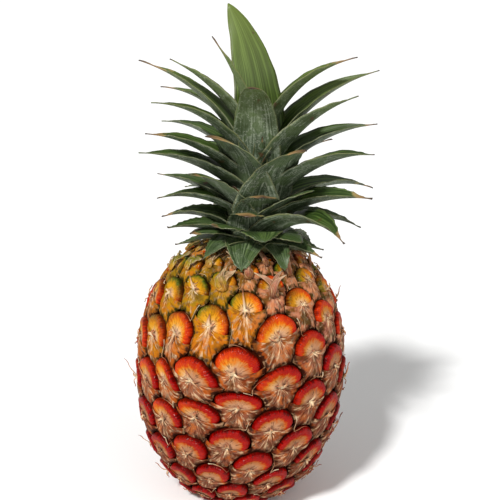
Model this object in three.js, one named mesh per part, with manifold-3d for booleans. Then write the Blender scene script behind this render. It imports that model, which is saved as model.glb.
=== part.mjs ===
// A ripe pineapple standing on its base: the body of fused eyes, the leafy crown and the cut stalk end.
// Millimetres, +Z up. The origin is the middle of the flat base, and the front faces -Y.
import * as THREE from 'three';
import { mergeVertices } from 'three/addons/utils/BufferGeometryUtils.js';
import Module from 'manifold-3d';

// ---------------------------------------------------------------- driving dimensions

// Body: an upright superellipse turned about its axis, a little fuller above the middle.
const BODY_RADIUS = 59.8;
const BODY_HALF_HEIGHT = 80.7;
const BODY_ROUNDNESS = 2.18;
const BODY_TOP_FULLNESS = 0.039;
const BODY_MIDDLE_Z = 75;
const BODY_TOP_Z = 151.7;
const PROFILE_STEPS = 2000;

// Eyes: one every 99.7 degrees round the body, on a single rising spiral.
// Each eye touches the ones 7, 11 and 18 places on, which gives the rows that cross on the skin.
// Rise is height along the skin divided by the radius there, so eyes shrink towards both ends.
const EYE_TURN = degrees(-99.696);
const EYE_RISE = 0.0246;
const FIRST_ANGLE = degrees(-1.415);
const FIRST_RISE = 0.138;
const LOWEST_EYE = -100;
const HIGHEST_EYE = 87;

// An eye's three upper sides bulge over its neighbours, and its left and right corners are narrowed.
// Its knot, where the inner rings close in, sits above the middle. All are shares of the lattice.
const DOME_BULGE = 0.04;
const DOME_NARROWING = 0.17;
const NARROWING_SPREAD = 0.8;
const KNOT_LIFT = 0.058;

// Relief of an eye on the wide part of the body. It shrinks with the eye towards both ends.
const GROOVE_DEPTH = 2.6;
const RIM_HEIGHT = 3.0;
const BRACT_HEIGHT = 0.4;
const CENTRE_RIM_HEIGHT = 1.7;
const CENTRE_BRACT_HEIGHT = 1.1;
const CENTRE_HEIGHT = 1.5;
const RIM_PLACE = 0.84;
const CENTRE_PLACE = 0.52;
const BRACT_UP_TO = -0.3;
const DOME_FROM = 0.4;
const FULL_RELIEF_RADIUS = 42;

// Natural drift of the rows from an even lattice: a slow wave round the body, a twist and a
// stretch towards the ends, and two local drifts high on the front.
const ROW_WAVE = { cos1: -0.053, sin1: 0.042, cos2: -0.045, sin2: -0.013 };
const ROW_TWIST = -0.202;
const ROW_TWIST_REST = 0.253;
const ROW_TWIST_LIMIT = 1.5;
const ROW_STRETCH = 0.059;
const DRIFTS = [
  { angle: 0.091, rise: 0.566, reach: 0.338, turn: -0.104, lift: -0.155 },
  { angle: -0.441, rise: 0.381, reach: 0.336, turn: -0.167, lift: -0.094 },
];
const END_OVERHANG = 3;
const SLAB_SIDES = 8;
const CUT_PAST = 1;

// Stalk: its cut end is flush with the flat base.
const STALK_RADIUS = 12;
const STALK_DEPTH = 5;
const STALK_SIDES = 24;
const GAP = 0.3;

// Crown: a short leaning stem, wrapped in the leaves' sheaths, that narrows at the top.
const STEM_BASE = new THREE.Vector3(4, 0, BODY_TOP_Z + GAP);
const STEM_TOP = new THREE.Vector3(7, 0, 202);
const STEM_HEIGHT = STEM_TOP.z - STEM_BASE.z;
const STEM_BASE_RADIUS = 16;
const STEM_SHOULDER_RADIUS = 15;
const STEM_TOP_RADIUS = 8;
const STEM_SHOULDER_SHARE = 0.6;
const STEM_SIDES = 10;

// Leaves: blades folded into a V channel, thickest along the middle.
const LEAF_SEGMENT_LENGTH = 14;
const LEAF_MOST_SEGMENTS = 7;
const LEAF_FEWEST_SEGMENTS = 4;
const LINE_STEPS_A_SEGMENT = 3;
const SECTION_CORNERS = 6;
const LEAF_MIDDLE_THICKNESS = 2.4;
const LEAF_MARGIN_THICKNESS = 0.9;
const LEAF_TIP_WIDTH = 1.6;
const LEAF_ROOT_WIDTH = 0.75;
const LEAF_WIDENING = 1.6;
const LEAF_TAPER = 2;
const LEAF_BLUNTNESS = 1.1;
const LEAF_BLADE_SHARE = 0.94;
const LEAF_BASE_FOLD = degrees(24);
const LEAF_TIP_FOLD = degrees(34);
const RECURVED_BLUNTNESS = 0.7;
const RECURVED_TIP_FOLD = degrees(-14);
const LEAF_ROOT_RADIUS = 5;
const LEAF_FRONT_ROOT = 8;
const LEAF_ROOT_NARROWING = 0.07;
const CROWN_SMOOTHING = 0.1;
const LEAF_CLEARANCE = 6.5;

// Leaves of the front and sides. Azimuth 0 faces the front and 90 the right.
// Up is the height of the root on the stem. Rise is the elevation at the root and fall at the tip.
// A leaf with late over 1 stays straight for longer, then curls back and ends in a broad, flatter tip.
const PLACED_LEAVES = [
  { azimuth: -100, up: 31, rise: 78, fall: 13, length: 104, width: 28, sway: 5, twist: 5, late: 1 },
  { azimuth: -80, up: 38, rise: 84, fall: 20, length: 88, width: 32, sway: -20, twist: -12, late: 1 },
  { azimuth: -85, up: 23, rise: 88, fall: 0, length: 94, width: 30, sway: 25, twist: 8, late: 1 },
  { azimuth: -120, up: 37, rise: 75, fall: -4, length: 88, width: 24, sway: 5, twist: 5, late: 1 },
  { azimuth: -105, up: 34, rise: 62, fall: -10, length: 75, width: 26, sway: -20, twist: 0, late: 1 },
  { azimuth: -80, up: 27, rise: 58, fall: 5, length: 78, width: 32, sway: 22, twist: 12, late: 1 },
  { azimuth: -78, up: 25, rise: 47, fall: 3, length: 76, width: 32, sway: 20, twist: 10, late: 1 },
  { azimuth: -105, up: 18, rise: 32, fall: -3, length: 65, width: 28, sway: -20, twist: 0, late: 1 },
  { azimuth: -85, up: 14, rise: 43, fall: -20, length: 57, width: 28, sway: -15, twist: 0, late: 1 },
  { azimuth: -95, up: 5, rise: 40, fall: -25, length: 54, width: 28, sway: -15, twist: 5, late: 1 },
  { azimuth: -75, up: 5, rise: 24, fall: 0, length: 50, width: 24, sway: 25, twist: 5, late: 1 },
  { azimuth: -85, up: 0, rise: 15, fall: -15, length: 40, width: 22, sway: 0, twist: 0, late: 1 },
  { azimuth: 85, up: 43, rise: 94, fall: 14, length: 90, width: 31, sway: -5, twist: -5, late: 1 },
  { azimuth: 88, up: 35, rise: 80, fall: 14, length: 97, width: 34, sway: 15, twist: -14, late: 1 },
  { azimuth: 60, up: 35, rise: 74, fall: 22, length: 79, width: 31, sway: 10, twist: 5, late: 1 },
  { azimuth: 88, up: 30, rise: 64, fall: 6, length: 79, width: 34, sway: 5, twist: -12, late: 1 },
  { azimuth: 75, up: 20, rise: 58, fall: 6, length: 86, width: 33, sway: -40, twist: -8, late: 1 },
  { azimuth: 105, up: 17, rise: 43, fall: -22, length: 77, width: 28, sway: 17, twist: 0, late: 1 },
  { azimuth: 80, up: 10, rise: 45, fall: 0, length: 70, width: 36, sway: -20, twist: -12, late: 1 },
  { azimuth: 100, up: 5, rise: 40, fall: -30, length: 63, width: 28, sway: 3, twist: 0, late: 1 },
  { azimuth: 52, up: 3, rise: 52, fall: -25, length: 72, width: 36, sway: -25, twist: 0, late: 1 },
  { azimuth: 85, up: 1, rise: 12, fall: -13, length: 36, width: 24, sway: 2, twist: 0, late: 1 },
  { azimuth: -140, up: 34, rise: 92, fall: 52, length: 106, width: 36, sway: 30, twist: 50, late: 1.6 },
  { azimuth: -45, up: 42, rise: 88, fall: 50, length: 84, width: 18, sway: -25, twist: 0, late: 1 },
  { azimuth: -16, up: 32, rise: 86, fall: -20, length: 76, width: 31, sway: 10, twist: 0, late: 4 },
  { azimuth: -25, up: 14, rise: 82, fall: -10, length: 72, width: 40, sway: -30, twist: 0, late: 2.5 },
  { azimuth: 20, up: 14, rise: 76, fall: 0, length: 66, width: 38, sway: 28, twist: 0, late: 2.5 },
  { azimuth: -58, up: 11, rise: 62, fall: -5, length: 60, width: 30, sway: 20, twist: 0, late: 2 },
  { azimuth: 10, up: 8, rise: 80, fall: -20, length: 38, width: 34, sway: -9, twist: 0, late: 3 },
  { azimuth: -10, up: 3, rise: 78, fall: -40, length: 33, width: 30, sway: 5, twist: 0, late: 3 },
  { azimuth: -35, up: 8, rise: 78, fall: 50, length: 34, width: 24, sway: 0, twist: 0, late: 2 },
  { azimuth: 45, up: 10, rise: 60, fall: 10, length: 46, width: 30, sway: 10, twist: 0, late: 2 },
  { azimuth: 32, up: 0, rise: 40, fall: -75, length: 33, width: 22, sway: -10, twist: 0, late: 1 },
  { azimuth: -45, up: 0, rise: 30, fall: -40, length: 32, width: 26, sway: 0, twist: 0, late: 1 },
  { azimuth: -12, up: 0, rise: 28, fall: -62, length: 31, width: 29, sway: 12, twist: 0, late: 1 },
  { azimuth: -30, up: 2, rise: 60, fall: -10, length: 34, width: 28, sway: -20, twist: 0, late: 1.5 },
  { azimuth: 60, up: 0, rise: 20, fall: -15, length: 38, width: 24, sway: 0, twist: 0, late: 1 },
  { azimuth: 8, up: 3, rise: 62, fall: -40, length: 32, width: 30, sway: 0, twist: 0, late: 1.5 },
  { azimuth: -62, up: 1, rise: 45, fall: -30, length: 36, width: 26, sway: -15, twist: 0, late: 1.5 },
  { azimuth: 40, up: 2, rise: 52, fall: -35, length: 32, width: 28, sway: 20, twist: 0, late: 1.5 },
];

// The leaves of the back follow the stem's own spiral: each value goes from its lowest leaf's to its
// highest leaf's. A few young leaves stand at the tip.
const SPIRAL_LEAVES = 48;
const SPIRAL_TURN = 137.5;
const SPIRAL_HEIGHT = 34;
const SPIRAL_CROWDING = 1.4;
const BACK_FROM = 126;
const BACK_RISE = [22, 82];
const BACK_FALL = [-50, 20];
const BACK_LENGTH = [52, 74];
const BACK_WIDTH = 26;
const BACK_SWAY = 10;
const YOUNG_LEAVES = 5;
const YOUNG_LEAF = { up: 38, rise: 86, fall: 70, length: 30, width: 16, sway: 0, twist: 0, late: 1 };

// ---------------------------------------------------------------- body

function degrees(angle) {
  return THREE.MathUtils.degToRad(angle);
}

function bodyRadius(height) {
  const share = Math.min(1, Math.abs(height) / BODY_HALF_HEIGHT);
  const round = (1 - share ** BODY_ROUNDNESS) ** (1 / BODY_ROUNDNESS);
  return BODY_RADIUS * round * (1 + (BODY_TOP_FULLNESS * height) / BODY_HALF_HEIGHT);
}

// The skin from the bottom to the top, with its rise counted from the middle.
function skinProfile() {
  const profile = [];
  let rise = 0;
  for (let step = 0; step <= PROFILE_STEPS; step += 1) {
    const height = BODY_HALF_HEIGHT * Math.sin((step / PROFILE_STEPS - 0.5) * Math.PI);
    const radius = Math.max(bodyRadius(height), 1);
    const last = profile[profile.length - 1];
    if (last) {
      const length = Math.hypot(height - last.height, radius - last.radius);
      rise += (2 * length) / (radius + last.radius);
    }
    profile.push({ height, radius, rise });
  }
  const middle = profile[PROFILE_STEPS / 2].rise;
  profile.forEach((point) => { point.rise -= middle; });
  return profile;
}

const PROFILE = skinProfile();

function skinPoint(angle, rise, raised) {
  let low = 0;
  let high = PROFILE_STEPS;
  while (high - low > 1) {
    const half = (low + high) >> 1;
    if (PROFILE[half].rise > rise) high = half;
    else low = half;
  }
  const a = PROFILE[low];
  const b = PROFILE[high];
  const share = THREE.MathUtils.clamp((rise - a.rise) / (b.rise - a.rise), 0, 1);
  const length = Math.hypot(b.height - a.height, b.radius - a.radius);
  const flatRadius = a.radius + share * (b.radius - a.radius);
  const relief = raised * Math.min(1, flatRadius / FULL_RELIEF_RADIUS);
  const radius = flatRadius + (relief * (b.height - a.height)) / length;
  const height = a.height + share * (b.height - a.height) - (relief * (b.radius - a.radius)) / length;
  return [radius * Math.sin(angle), -radius * Math.cos(angle), BODY_MIDDLE_Z + height];
}

function nearestTurn(angle) {
  return Math.atan2(Math.sin(angle), Math.cos(angle));
}

// Moves a point of the even lattice to where it grew, and gives its place in space.
function grownPoint(latticeAngle, latticeRise, raised) {
  const wave = ROW_WAVE.cos1 * Math.cos(latticeAngle) + ROW_WAVE.sin1 * Math.sin(latticeAngle)
    + ROW_WAVE.cos2 * Math.cos(2 * latticeAngle) + ROW_WAVE.sin2 * Math.sin(2 * latticeAngle);
  const rise = latticeRise + wave;
  const twist = ROW_TWIST_LIMIT * Math.tanh((rise * rise) / ROW_TWIST_LIMIT) - ROW_TWIST_REST;
  const angle = latticeAngle + ROW_TWIST * twist;
  let turn = 0;
  let lift = 0;
  DRIFTS.forEach((drift) => {
    const away = (nearestTurn(angle - drift.angle) ** 2 + (rise - drift.rise) ** 2) / drift.reach ** 2;
    turn += drift.turn * Math.exp(-away);
    lift += drift.lift * Math.exp(-away);
  });
  const drifted = rise + lift;
  return skinPoint(angle + turn, drifted * (1 + ROW_STRETCH * Math.abs(drifted)), raised);
}

function step(places) {
  return new THREE.Vector2(nearestTurn(EYE_TURN * places), EYE_RISE * places);
}

const STEP_7 = step(7);
const STEP_11 = step(11);
const STEP_18 = STEP_7.clone().add(STEP_11);

function bulgedMiddle(side) {
  return side.clone().setLength(side.length() / 2 + DOME_BULGE);
}

// The kinds of groove point, each counted from one eye, and the twelve of them round an eye.
const GROOVE_KINDS = {
  edge7: bulgedMiddle(STEP_7),
  corner7: STEP_7.clone().add(STEP_18).divideScalar(3),
  edge18: bulgedMiddle(STEP_18),
  corner11: STEP_18.clone().add(STEP_11).divideScalar(3),
  edge11: bulgedMiddle(STEP_11),
};
const GROOVE_RING = [
  ['edge7', 0], ['corner7', 0], ['edge18', 0], ['corner11', 0], ['edge11', 0], ['corner7', -7],
  ['edge7', -7], ['corner11', -18], ['edge18', -18], ['corner7', -18], ['edge11', -11], ['corner11', -11],
];
const RING_SIZE = GROOVE_RING.length;
const HALF_RING = RING_SIZE / 2;

function eyeAt(number) {
  return new THREE.Vector2(FIRST_ANGLE + EYE_TURN * number, FIRST_RISE + EYE_RISE * number);
}

// Where each point of an eye's rings lies from its centre at full size, anticlockwise from the right.
const RING_OFFSETS = GROOVE_RING.map(([kind, shift], i) => {
  const fromCorner = Math.abs(((i + 1 + HALF_RING / 2) % HALF_RING) - HALF_RING / 2);
  const narrowed = 1 - DOME_NARROWING * Math.exp(-((fromCorner / NARROWING_SPREAD) ** 2));
  return step(shift).add(GROOVE_KINDS[kind]).multiplyScalar(narrowed);
});

// One ring of an eye's relief, with every point of it or every second one.
function addRing(centre, share, bractHeight, domeHeight, every, mesh) {
  return RING_OFFSETS.filter((_, i) => i % every === 0).map((offset) => {
    const upper = THREE.MathUtils.smoothstep(offset.y / offset.length(), BRACT_UP_TO, DOME_FROM);
    const raised = THREE.MathUtils.lerp(bractHeight, domeHeight, upper);
    const rise = centre.y + share * offset.y + (1 - share) * KNOT_LIFT;
    return mesh.points.push(grownPoint(centre.x + share * offset.x, rise, raised)) - 1;
  });
}

function addEye(number, mesh) {
  const centre = eyeAt(number);
  const groove = GROOVE_RING.map(([kind, shift]) => {
    const key = `${kind} ${number + shift}`;
    if (!mesh.grooves.has(key)) {
      const place = eyeAt(number + shift).add(GROOVE_KINDS[kind]);
      mesh.grooves.set(key, mesh.points.length);
      mesh.points.push(grownPoint(place.x, place.y, -GROOVE_DEPTH));
    }
    return mesh.grooves.get(key);
  });
  const rim = addRing(centre, RIM_PLACE, BRACT_HEIGHT, RIM_HEIGHT, 1, mesh);
  const inner = addRing(centre, CENTRE_PLACE, CENTRE_BRACT_HEIGHT, CENTRE_RIM_HEIGHT, 2, mesh);
  const middle = mesh.points.push(grownPoint(centre.x, centre.y + KNOT_LIFT, CENTRE_HEIGHT)) - 1;
  for (let i = 0; i < RING_SIZE; i += 1) {
    const next = (i + 1) % RING_SIZE;
    mesh.triangles.push([groove[i], groove[next], rim[i]], [groove[next], rim[next], rim[i]]);
  }
  for (let i = 0; i < HALF_RING; i += 1) {
    const next = (i + 1) % HALF_RING;
    const a = rim[2 * i];
    const b = rim[2 * i + 1];
    const c = rim[(2 * i + 2) % RING_SIZE];
    mesh.triangles.push([a, b, inner[i]], [b, inner[next], inner[i]], [b, c, inner[next]]);
    mesh.triangles.push([inner[i], inner[next], middle]);
  }
}

// Closes the open ends of the skin with a fan to a point on the axis.
function closeEnds(mesh) {
  const edges = new Map();
  mesh.triangles.forEach(([a, b, c]) => {
    [[a, b], [b, c], [c, a]].forEach(([from, to]) => edges.set(`${from} ${to}`, [from, to]));
  });
  const top = mesh.points.push([0, 0, BODY_MIDDLE_Z + BODY_HALF_HEIGHT + END_OVERHANG]) - 1;
  const bottom = mesh.points.push([0, 0, BODY_MIDDLE_Z - BODY_HALF_HEIGHT - END_OVERHANG]) - 1;
  edges.forEach(([from, to]) => {
    if (edges.has(`${to} ${from}`)) return;
    const end = mesh.points[from][2] > BODY_MIDDLE_Z ? top : bottom;
    mesh.triangles.push([to, from, end]);
  });
}

function bodySkin() {
  const mesh = { points: [], triangles: [], grooves: new Map() };
  for (let number = LOWEST_EYE; number <= HIGHEST_EYE; number += 1) {
    addEye(number, mesh);
  }
  closeEnds(mesh);
  return indexedGeometry(mesh.points.flat(), mesh.triangles.flat());
}

function roundBar(radius, low, high, sides) {
  const outline = [[0, low], [radius, low], [radius, high], [0, high]];
  const profile = outline.map(([x, y]) => new THREE.Vector2(x, y));
  return new THREE.LatheGeometry(profile, sides).rotateX(Math.PI / 2);
}

// ---------------------------------------------------------------- crown

function stemPoint(up) {
  return STEM_BASE.clone().lerp(STEM_TOP, up / STEM_HEIGHT);
}

function stem() {
  const shoulder = STEM_HEIGHT * STEM_SHOULDER_SHARE;
  const outline = [[0, 0], [STEM_BASE_RADIUS, 0], [STEM_SHOULDER_RADIUS, shoulder],
    [STEM_TOP_RADIUS, STEM_HEIGHT], [0, STEM_HEIGHT]];
  const profile = outline.map(([x, y]) => new THREE.Vector2(x, y));
  const geometry = new THREE.LatheGeometry(profile, STEM_SIDES).rotateX(Math.PI / 2);
  const lean = new THREE.Matrix4().makeShear(0, 0, 0, 0, (STEM_TOP.x - STEM_BASE.x) / STEM_HEIGHT, 0);
  return geometry.applyMatrix4(lean).translate(STEM_BASE.x, STEM_BASE.y, STEM_BASE.z);
}

// The lowest height that a leaf may have over the body's shoulder.
function clearHeight(x, y) {
  const radius = BODY_RADIUS * (1 + BODY_TOP_FULLNESS) + LEAF_CLEARANCE;
  const share = Math.hypot(x, y) / radius;
  if (share >= 1) return -Infinity;
  const height = BODY_HALF_HEIGHT + LEAF_CLEARANCE;
  return BODY_MIDDLE_Z + height * (1 - share ** BODY_ROUNDNESS) ** (1 / BODY_ROUNDNESS);
}

function leafSegments(leaf) {
  const segments = Math.round(leaf.length / LEAF_SEGMENT_LENGTH);
  return THREE.MathUtils.clamp(segments, LEAF_FEWEST_SEGMENTS, LEAF_MOST_SEGMENTS);
}

// The middle line of a leaf, with the directions along it, across it and out of its upper face.
function leafLine(leaf) {
  const aim = degrees(leaf.azimuth);
  const front = LEAF_FRONT_ROOT * Math.max(0, Math.cos(aim)) ** 2;
  const rootRadius = LEAF_ROOT_RADIUS - LEAF_ROOT_NARROWING * leaf.up + front;
  const point = stemPoint(leaf.up);
  point.addScaledVector(new THREE.Vector3(Math.sin(aim), -Math.cos(aim), 0), rootRadius);
  const line = [];
  const steps = LINE_STEPS_A_SEGMENT * leafSegments(leaf);
  for (let i = 0; i <= steps; i += 1) {
    const share = i / steps;
    const turn = degrees(leaf.azimuth + leaf.sway * share);
    const tilt = degrees(THREE.MathUtils.lerp(leaf.rise, leaf.fall, share ** leaf.late));
    const along = new THREE.Vector3(
      Math.sin(turn) * Math.cos(tilt), -Math.cos(turn) * Math.cos(tilt), Math.sin(tilt));
    const across = new THREE.Vector3(Math.cos(turn), Math.sin(turn), 0);
    across.applyAxisAngle(along, -degrees(leaf.twist) * share);
    const out = new THREE.Vector3().crossVectors(along, across);
    if (i % LINE_STEPS_A_SEGMENT === 0) line.push({ share, point: point.clone(), across, out });
    point.addScaledVector(along, leaf.length / steps);
  }
  return line;
}

function isRecurved(leaf) {
  return leaf.late > 1;
}

function leafHalfWidth(leaf, share) {
  const widened = Math.min(1, LEAF_ROOT_WIDTH + LEAF_WIDENING * share);
  const grown = isRecurved(leaf) ? share : Math.min(1, share / LEAF_BLADE_SHARE);
  const tapered = (1 - grown ** LEAF_TAPER) ** (isRecurved(leaf) ? RECURVED_BLUNTNESS : LEAF_BLUNTNESS);
  return Math.max(leaf.width * widened * tapered, LEAF_TIP_WIDTH) / 2;
}

// One cross-section: left margin, middle and right margin on top, then the same from below.
function leafSection(leaf, { share, point, across, out }) {
  const half = leafHalfWidth(leaf, share);
  const tipFold = isRecurved(leaf) ? RECURVED_TIP_FOLD : LEAF_TIP_FOLD;
  const fold = THREE.MathUtils.lerp(LEAF_BASE_FOLD, tipFold, share);
  const thin = THREE.MathUtils.lerp(LEAF_MIDDLE_THICKNESS, LEAF_MARGIN_THICKNESS, share);
  const columns = [[-half, LEAF_MARGIN_THICKNESS], [0, thin], [half, LEAF_MARGIN_THICKNESS]];
  const upper = [];
  const lower = [];
  columns.forEach(([aside, thickness]) => {
    const place = point.clone()
      .addScaledVector(across, aside * Math.cos(fold))
      .addScaledVector(out, Math.abs(aside) * Math.sin(fold));
    const top = place.clone().addScaledVector(out, thickness / 2);
    const below = place.clone().addScaledVector(out, -thickness / 2);
    const floor = Math.max(clearHeight(below.x, below.y), clearHeight(top.x, top.y));
    const lift = Math.max(0, floor - Math.min(below.z, top.z));
    top.z += lift;
    below.z += lift;
    upper.push(top);
    lower.push(below);
  });
  return [...upper, ...lower];
}

function leafBlade(leaf) {
  const points = leafLine(leaf).map((place) => leafSection(leaf, place)).flat();
  const triangles = [];
  const segments = leafSegments(leaf);
  const corners = (i) => Array.from({ length: SECTION_CORNERS }, (_, corner) => SECTION_CORNERS * i + corner);
  for (let i = 0; i < segments; i += 1) {
    const [left, middle, right, leftBelow, middleBelow, rightBelow] = corners(i);
    const [left2, middle2, right2, leftBelow2, middleBelow2, rightBelow2] = corners(i + 1);
    triangles.push(left, middle2, middle, left, left2, middle2);
    triangles.push(middle, right2, right, middle, middle2, right2);
    triangles.push(leftBelow, middleBelow, middleBelow2, leftBelow, middleBelow2, leftBelow2);
    triangles.push(middleBelow, rightBelow, rightBelow2, middleBelow, rightBelow2, middleBelow2);
    triangles.push(right, rightBelow2, rightBelow, right, right2, rightBelow2);
    triangles.push(left, leftBelow, leftBelow2, left, leftBelow2, left2);
  }
  const [left, middle, right, leftBelow, middleBelow, rightBelow] = corners(0);
  triangles.push(left, middle, middleBelow, left, middleBelow, leftBelow);
  triangles.push(middle, right, rightBelow, middle, rightBelow, middleBelow);
  const [left2, middle2, right2, leftBelow2, middleBelow2, rightBelow2] = corners(segments);
  triangles.push(left2, middleBelow2, middle2, left2, leftBelow2, middleBelow2);
  triangles.push(middle2, rightBelow2, right2, middle2, middleBelow2, rightBelow2);
  return indexedGeometry(points.map((p) => p.toArray()).flat(), triangles);
}

// The leaves of the back lean further out the lower they stand.
function backLeaves() {
  const leaves = [];
  for (let number = 0; number < SPIRAL_LEAVES; number += 1) {
    const turn = number * SPIRAL_TURN;
    const azimuth = ((turn + 180) % 360) - 180;
    const share = number / SPIRAL_LEAVES;
    const grown = ([lowest, highest]) => THREE.MathUtils.lerp(lowest, highest, share);
    if (Math.abs(azimuth) > BACK_FROM) {
      leaves.push({
        azimuth,
        up: SPIRAL_HEIGHT * share ** SPIRAL_CROWDING,
        rise: grown(BACK_RISE),
        fall: grown(BACK_FALL),
        length: grown(BACK_LENGTH),
        width: BACK_WIDTH,
        sway: BACK_SWAY * Math.sin(turn),
        twist: 0,
        late: 1,
      });
    }
  }
  return leaves;
}

function youngLeaves() {
  const apart = 360 / YOUNG_LEAVES;
  return Array.from({ length: YOUNG_LEAVES }, (_, i) => ({ azimuth: i * apart, ...YOUNG_LEAF }));
}

// ---------------------------------------------------------------- solids

function indexedGeometry(positions, triangles) {
  const geometry = new THREE.BufferGeometry();
  geometry.setAttribute('position', new THREE.Float32BufferAttribute(positions, 3));
  geometry.setIndex(triangles);
  return geometry;
}

const MERGE_DISTANCE = 1e-4;
const wasm = await Module();
wasm.setup();

function solid(geometry) {
  geometry.deleteAttribute('normal');
  geometry.deleteAttribute('uv');
  const merged = mergeVertices(geometry, MERGE_DISTANCE);
  return new wasm.Manifold(new wasm.Mesh({
    numProp: 3,
    vertProperties: new Float32Array(merged.attributes.position.array),
    triVerts: new Uint32Array(merged.index.array),
  }));
}

// Keeps the one surface that reaches furthest out, which fills the hollows closed in behind it.
function outerShell(shape) {
  const { vertProperties, triVerts } = shape.getMesh();
  const parent = Array.from({ length: vertProperties.length / 3 }, (_, i) => i);
  const root = (i) => {
    let at = i;
    while (parent[at] !== at) {
      parent[at] = parent[parent[at]];
      at = parent[at];
    }
    return at;
  };
  for (let i = 0; i < triVerts.length; i += 3) {
    parent[root(triVerts[i + 1])] = root(triVerts[i]);
    parent[root(triVerts[i + 2])] = root(triVerts[i]);
  }
  let outermost = 0;
  for (let i = 1; i < parent.length; i += 1) {
    if (vertProperties[3 * i] > vertProperties[3 * outermost]) outermost = i;
  }
  const kept = [];
  for (let i = 0; i < triVerts.length; i += 3) {
    if (root(triVerts[i]) === root(outermost)) kept.push(triVerts[i], triVerts[i + 1], triVerts[i + 2]);
  }
  return solid(indexedGeometry(Array.from(vertProperties), kept));
}

function meshOf(name, shape, material) {
  const result = shape.getMesh();
  const geometry = indexedGeometry(Array.from(result.vertProperties), Array.from(result.triVerts));
  const mesh = new THREE.Mesh(geometry, material);
  mesh.name = name;
  return mesh;
}

function bodySolid() {
  const slab = solid(roundBar(2 * BODY_RADIUS, 0, BODY_TOP_Z, SLAB_SIDES));
  const socket = solid(roundBar(STALK_RADIUS + GAP, -CUT_PAST, STALK_DEPTH, STALK_SIDES));
  return solid(bodySkin()).intersect(slab).subtract(socket);
}

function crownSolid() {
  const blades = [...PLACED_LEAVES, ...backLeaves(), ...youngLeaves()].map((leaf) => solid(leafBlade(leaf)));
  const fused = blades.reduce((crown, blade) => crown.add(blade), solid(stem()));
  return outerShell(fused.asOriginal().simplify(CROWN_SMOOTHING));
}

const rind = new THREE.MeshStandardMaterial({ color: '#b5501c', roughness: 0.45, metalness: 0 });
const leaf = new THREE.MeshStandardMaterial({ color: '#3f5f38', roughness: 0.55, metalness: 0 });
const wood = new THREE.MeshStandardMaterial({ color: '#b59a6c', roughness: 0.85, metalness: 0 });

const pineapple = new THREE.Group();
pineapple.add(
  meshOf('fruit', bodySolid(), rind),
  meshOf('crown', crownSolid(), leaf),
  meshOf('stalk', solid(roundBar(STALK_RADIUS, 0, STALK_DEPTH - GAP, STALK_SIDES)), wood),
);

export default pineapple;
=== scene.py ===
# A ripe pineapple on a pale studio floor: the rind of fused eyes, its papery bracts, the crown and the stalk.
# Metres, +Z up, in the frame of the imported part. The front faces -Y.
import math
import random
from bisect import bisect_right

import bmesh
import bpy
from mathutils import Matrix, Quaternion, Vector, noise


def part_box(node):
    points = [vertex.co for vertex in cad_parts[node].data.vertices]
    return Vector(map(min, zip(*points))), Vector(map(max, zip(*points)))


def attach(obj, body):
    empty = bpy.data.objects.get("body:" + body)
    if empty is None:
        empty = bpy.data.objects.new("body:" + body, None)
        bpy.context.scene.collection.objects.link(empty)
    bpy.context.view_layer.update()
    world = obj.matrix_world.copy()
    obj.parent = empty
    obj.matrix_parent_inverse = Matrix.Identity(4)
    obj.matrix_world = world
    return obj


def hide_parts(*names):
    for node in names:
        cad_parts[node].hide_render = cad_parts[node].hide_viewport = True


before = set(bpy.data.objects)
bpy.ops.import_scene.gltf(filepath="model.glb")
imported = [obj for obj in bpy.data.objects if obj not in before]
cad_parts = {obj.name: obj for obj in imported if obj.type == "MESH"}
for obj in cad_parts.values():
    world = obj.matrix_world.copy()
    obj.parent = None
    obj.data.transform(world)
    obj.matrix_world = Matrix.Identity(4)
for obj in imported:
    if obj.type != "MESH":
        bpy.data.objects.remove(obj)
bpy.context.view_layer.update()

# ---------------------------------------------------------------- studio
# A seamless pale floor that runs on past the view, a soft white surround, a key light high on the left in
# front and a weak fill light on the right. The camera stands a little above the fruit and leans slightly.
# A program fitted its place, aim, roll and lens.

CAMERA_PLACE = Vector((0.0006, -0.5445, 0.3117))
CAMERA_AIM = Vector((0.0025, 0, 0.1501))
CAMERA_ROLL = math.radians(2.71)
CAMERA_LENS = 70.8
FLOOR_REACH = 40
FLOOR_COLOUR = "#fcfcfb"
SURROUND_COLOUR = "#ffffff"
SURROUND_STRENGTH = 0.35
KEY_LIGHT = {"direction": Vector((-0.45, -0.8, 0.9)), "strength": 3.25, "softness": math.radians(7)}
FILL_LIGHT = {"direction": Vector((0.7, -0.7, 0.6)), "strength": 0.6, "softness": math.radians(60)}


def linear(colour):
    """An sRGB hex colour as linear red, green, blue and alpha."""
    channels = [int(colour[place:place + 2], 16) / 255 for place in (1, 3, 5)]
    bent = [c / 12.92 if c <= 0.04045 else ((c + 0.055) / 1.055) ** 2.4 for c in channels]
    return (*bent, 1)


def add(material, kind, inputs=None, stops=(), out=0, **settings):
    """Adds a node and gives one of its outputs. Inputs are outputs to link, values or hex colours, and
    stops are the places of a ramp with their values or hex colours."""
    node = material.node_tree.nodes.new("ShaderNode" + kind)
    for name, value in settings.items():
        setattr(node, name, value)
    for name, value in (inputs or {}).items():
        if isinstance(value, bpy.types.NodeSocket):
            material.node_tree.links.new(value, node.inputs[name])
        else:
            node.inputs[name].default_value = linear(value) if isinstance(value, str) else value
    for number, (place, value) in enumerate(stops):
        elements = node.color_ramp.elements
        stop = elements[number] if number < 2 else elements.new(place)
        stop.position = place
        stop.color = linear(value) if isinstance(value, str) else (value, value, value, 1)
    return node.outputs[out] if node.outputs else node


def new_material(name):
    material = bpy.data.materials.new(name)
    material.use_nodes = True
    material.node_tree.nodes.clear()
    return material


def show(name, shape, material):
    """Turns a finished bmesh into an object at the origin."""
    mesh = bpy.data.meshes.new(name)
    shape.to_mesh(mesh)
    shape.free()
    for polygon in mesh.polygons:
        polygon.use_smooth = True
    mesh.materials.append(material)
    piece = bpy.data.objects.new(name, mesh)
    bpy.context.scene.collection.objects.link(piece)
    return piece


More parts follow.
